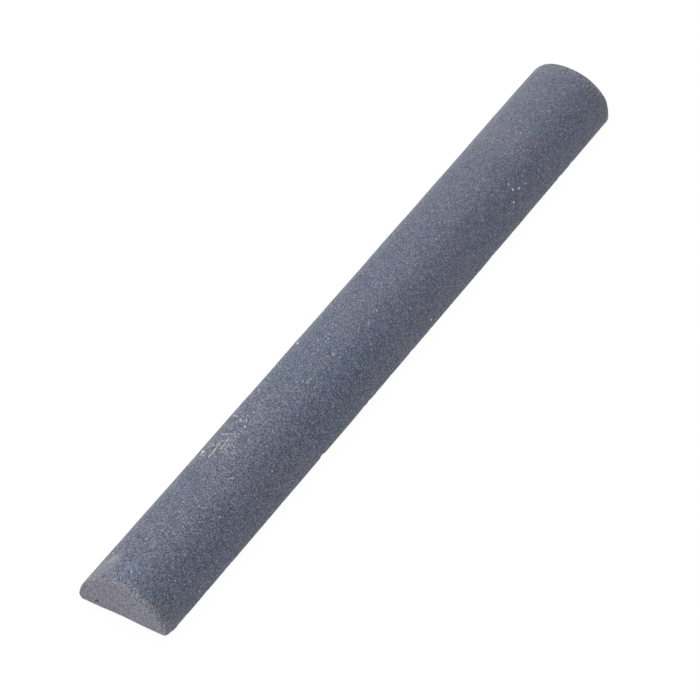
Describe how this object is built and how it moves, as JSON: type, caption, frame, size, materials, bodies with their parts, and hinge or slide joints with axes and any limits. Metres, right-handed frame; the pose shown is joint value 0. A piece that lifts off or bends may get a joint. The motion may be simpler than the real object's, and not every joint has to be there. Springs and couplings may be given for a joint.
{
  "type": "brick jointer",
  "caption": "Half-round silicon carbide stick: a D-section abrasive stone, flat below and round above, drawn along brickwork to tool concave mortar joints.",
  "frame": {"origin": "middle of the flat underside, halfway along the stick", "axes": "+X along the stick, +Z from the flat face up to the crest of the round side, +Y across the flat face"},
  "size_m": [0.2032, 0.025, 0.0122],
  "materials": {
    "silicon_carbide": "matte"
  },
  "bodies": {
    "root": {"jointer_stone": "silicon_carbide"}
  },
  "joints": []
}
